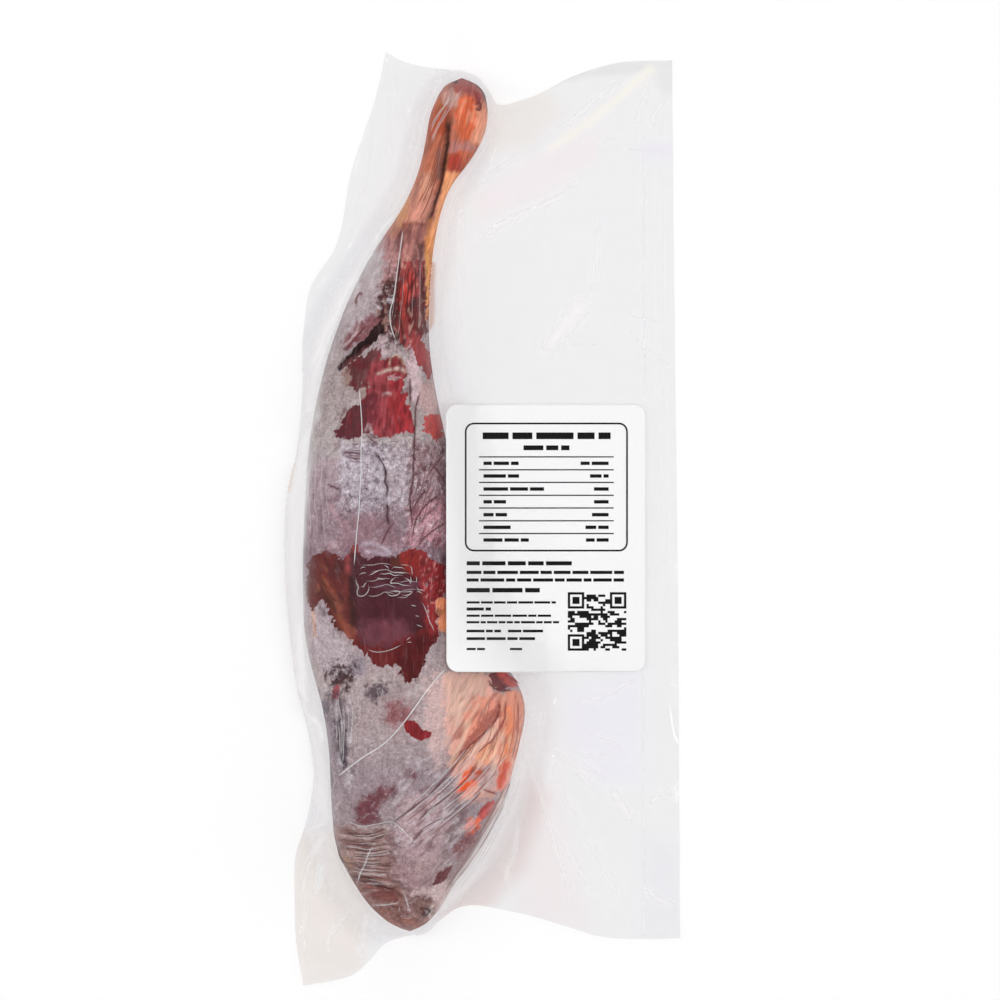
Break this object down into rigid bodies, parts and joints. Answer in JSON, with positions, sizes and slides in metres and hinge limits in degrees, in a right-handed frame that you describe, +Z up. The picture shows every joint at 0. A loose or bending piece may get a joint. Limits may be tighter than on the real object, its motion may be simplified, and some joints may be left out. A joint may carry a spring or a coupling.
{
  "type": "vacuum packed mutton leg",
  "caption": "Whole raw mutton leg, frozen flat and vacuum packed in a clear pouch with a wide margin and a plain white label, hock at one end and hip at the other.",
  "frame": {"origin": "middle of the whole at the surface that the pouch rests on", "axes": "+Z up out of the shown side, +Y along the leg towards the hock, +X towards the pouch's wide margin"},
  "size_m": [0.2488, 0.5866, 0.076],
  "materials": {
    "meat": "frozen raw meat, dark red with frosted grey-lilac areas and orange fat",
    "film": "clear glossy vacuum film, wrinkled",
    "label": "white coated paper with plain black bars and rules"
  },
  "bodies": {
    "root": {"leg": "meat", "pouch": "film", "label": "label"}
  },
  "joints": []
}
